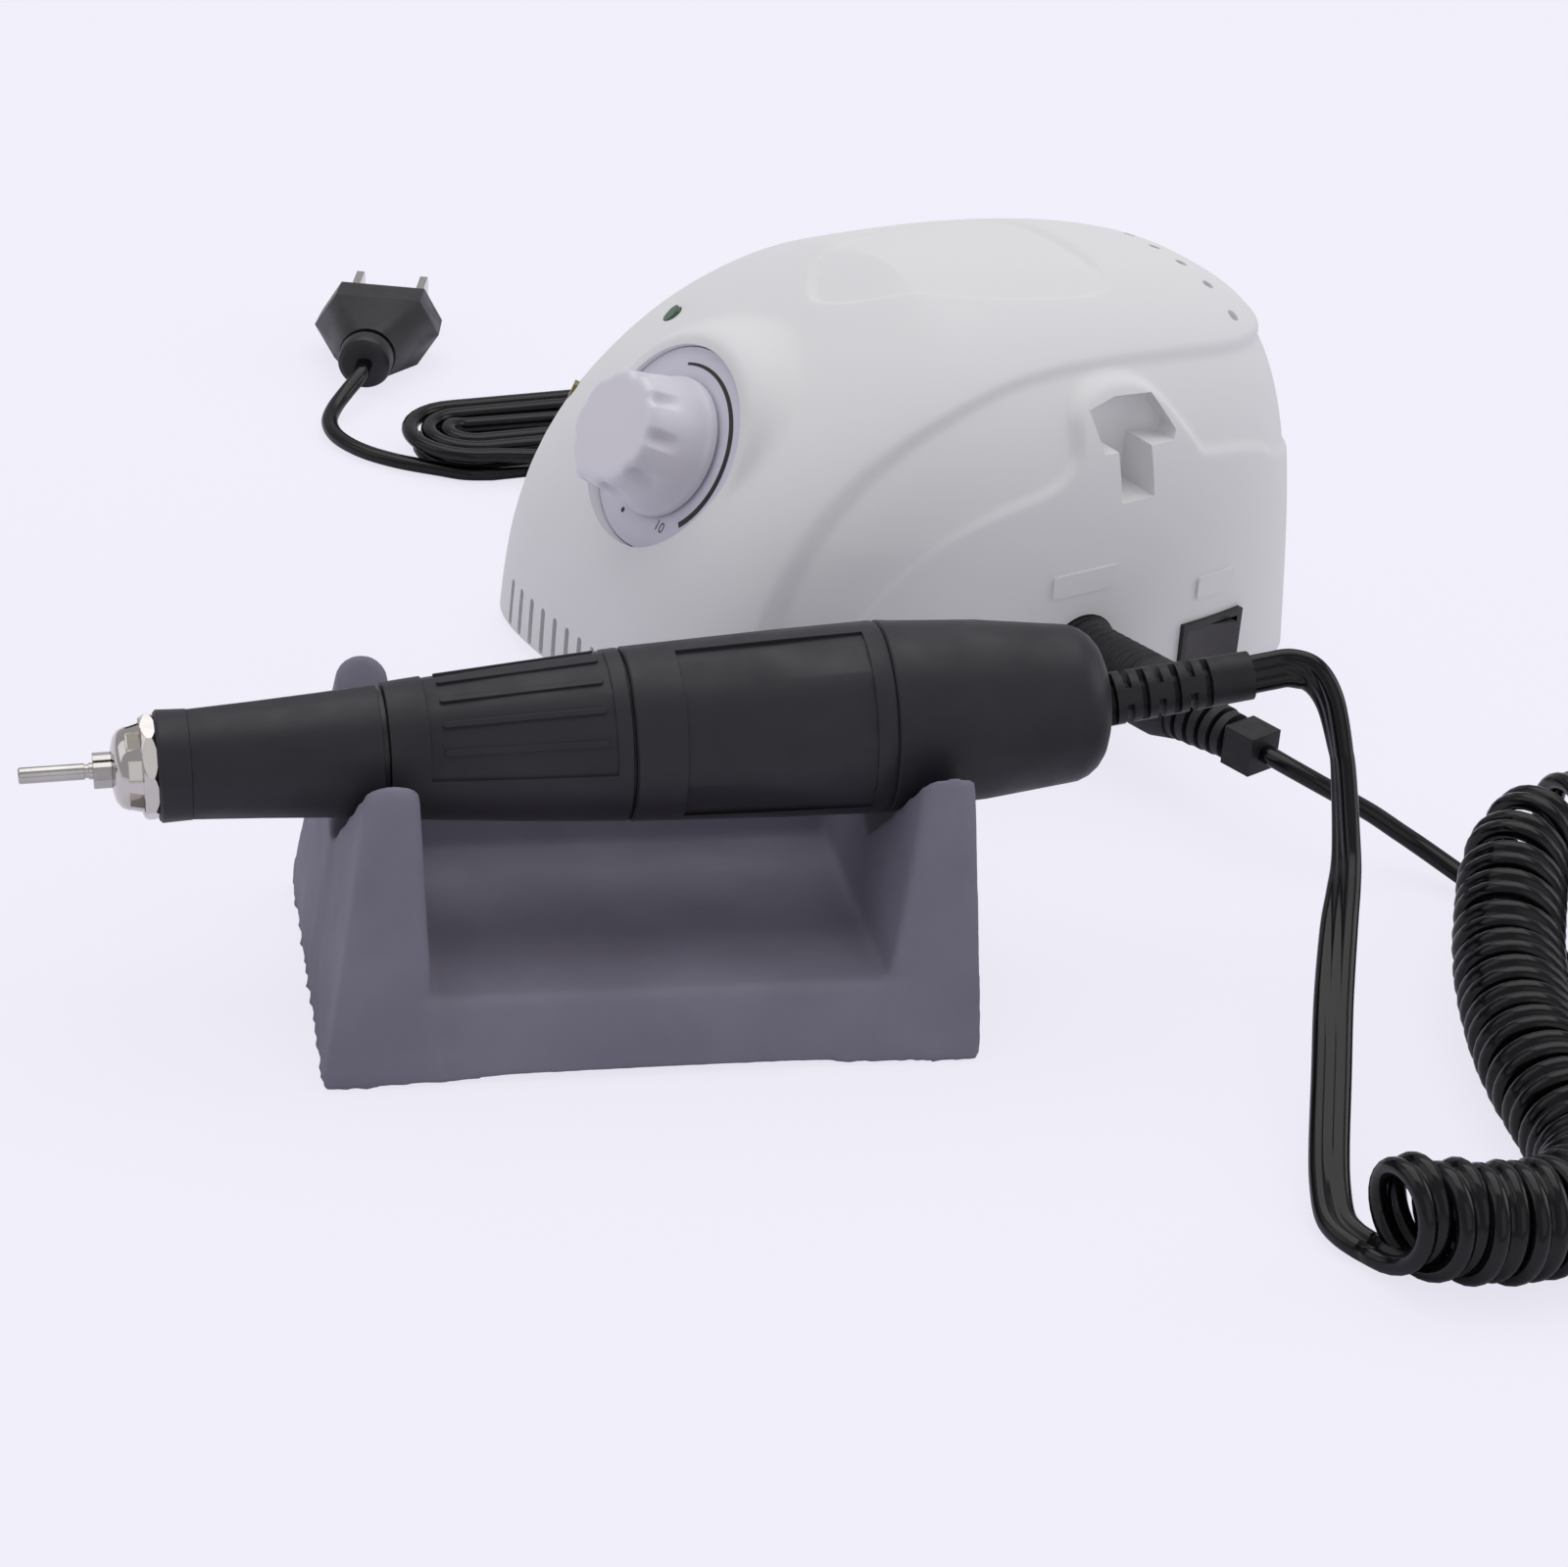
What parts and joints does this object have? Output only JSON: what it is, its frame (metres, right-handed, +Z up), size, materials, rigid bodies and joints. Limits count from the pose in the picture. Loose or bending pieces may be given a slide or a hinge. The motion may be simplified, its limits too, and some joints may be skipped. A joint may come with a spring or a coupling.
{
  "type": "micromotor rotary tool set",
  "caption": "Rotary tool set: motor handpiece with a collet, resting on a V-notched rubber cradle, with a curly cord to a control box with speed knob, rocker switch and mains lead.",
  "frame": {"origin": "on the table, under the middle of the box that the set takes without its cords", "axes": "+X along the cradle from the tool end to the cord end, +Y from the user to the control box, +Z up"},
  "size_m": [0.2783, 0.3577, 0.0714],
  "materials": {
    "cream_abs": "satin moulded ABS",
    "base_abs": "moulded",
    "foot_rubber": "matt",
    "printed_plate": "printed film",
    "knob_abs": "satin moulded",
    "steel": "ground",
    "bright_steel": "polished",
    "chromed_brass": "polished",
    "green_lens": "clear tinted",
    "amber_lens": "clear tinted",
    "black_plastic": "moulded",
    "rocker_plastic": "moulded",
    "black_rubber": "matt",
    "iron_core": "varnished laminations",
    "copper": "enamelled winding",
    "board": "solder mask",
    "grey_plastic": "soft-touch coated",
    "cradle_rubber": "moulded matt",
    "cord_pvc": "glossy PVC",
    "brass_blade": "nickelled",
    "coupling_plastic": "moulded",
    "carbon": "pressed"
  },
  "bodies": {
    "root": {"upper_housing": "cream_abs", "base_plate": "base_abs", "rubber_foot_1": "foot_rubber", "rubber_foot_2": "foot_rubber", "rubber_foot_3": "foot_rubber", "rubber_foot_4": "foot_rubber", "dial_plate": "printed_plate", "potentiometer": "black_plastic", "power_lens": "green_lens", "overload_lens": "amber_lens", "rocker_frame": "black_plastic", "motor_socket": "black_plastic", "mains_gland": "black_rubber", "transformer_core": "iron_core", "transformer_coil": "copper", "circuit_board": "board", "motor_plug": "black_rubber", "plug_boot": "black_rubber", "cradle": "cradle_rubber", "motor_cord_curl": "cord_pvc", "motor_cord_lead": "cord_pvc", "mains_cord_end": "cord_pvc", "mains_hank": "cord_pvc", "mains_cord_tail": "cord_pvc", "mains_plug": "black_plastic", "mains_blade_left": "brass_blade", "mains_blade_right": "brass_blade"},
    "knob": {"speed_knob": "knob_abs", "pot_shaft": "steel"},
    "switch": {"rocker": "rocker_plastic"},
    "handpiece": {"nose_cap": "chromed_brass", "nose_collar": "grey_plastic", "front_sleeve": "grey_plastic", "seal_ring": "black_plastic", "inner_barrel": "black_plastic", "motor_housing": "grey_plastic", "tail_cap": "grey_plastic", "strain_relief": "black_rubber", "front_bearing": "steel", "middle_bearing": "steel", "motor_bearing": "steel", "magnet_ring": "iron_core", "brush_top": "carbon", "brush_bottom": "carbon", "rear_bearing": "steel", "motor_cord_drop": "cord_pvc"},
    "twist": {"twist_sleeve": "grey_plastic"},
    "spindle": {"collet": "bright_steel", "spindle": "steel", "coupling": "coupling_plastic", "motor_shaft": "steel", "armature": "copper", "commutator": "copper"},
    "tool": {"tool_shank": "bright_steel"}
  },
  "joints": [
    {"name": "speed_knob_turn", "type": "hinge", "parent": "root", "child": "knob", "pos_m": [-0.00265, 0.02238, 0.0443], "axis": [0.8261, 0.3338, -0.454], "range_deg": [0, 300]},
    {"name": "power_rocker", "type": "hinge", "parent": "root", "child": "switch", "pos_m": [0.08976, 0.01504, 0.0096], "axis": [0, 0, 1], "range_deg": [0, 22]},
    {"name": "handpiece_lift", "type": "slide", "parent": "root", "child": "handpiece", "axis": [0, 0, 1], "range_m": [0, 0.06], "deforming": ["motor_cord_drop"]},
    {"name": "twist_sleeve_turn", "type": "hinge", "parent": "handpiece", "child": "twist", "pos_m": [-0.04204, -0.06817, 0.03893], "axis": [0.999, 0, 0.0436], "range_deg": [0, 45]},
    {"name": "spindle_spin", "type": "hinge", "parent": "handpiece", "child": "spindle", "pos_m": [-0.02206, -0.06817, 0.0398], "axis": [0.999, 0, 0.0436], "continuous": true},
    {"name": "shank_pull", "type": "slide", "parent": "spindle", "child": "tool", "axis": [-0.999, 0, -0.0436], "range_m": [0, 0.025]}
  ]
}
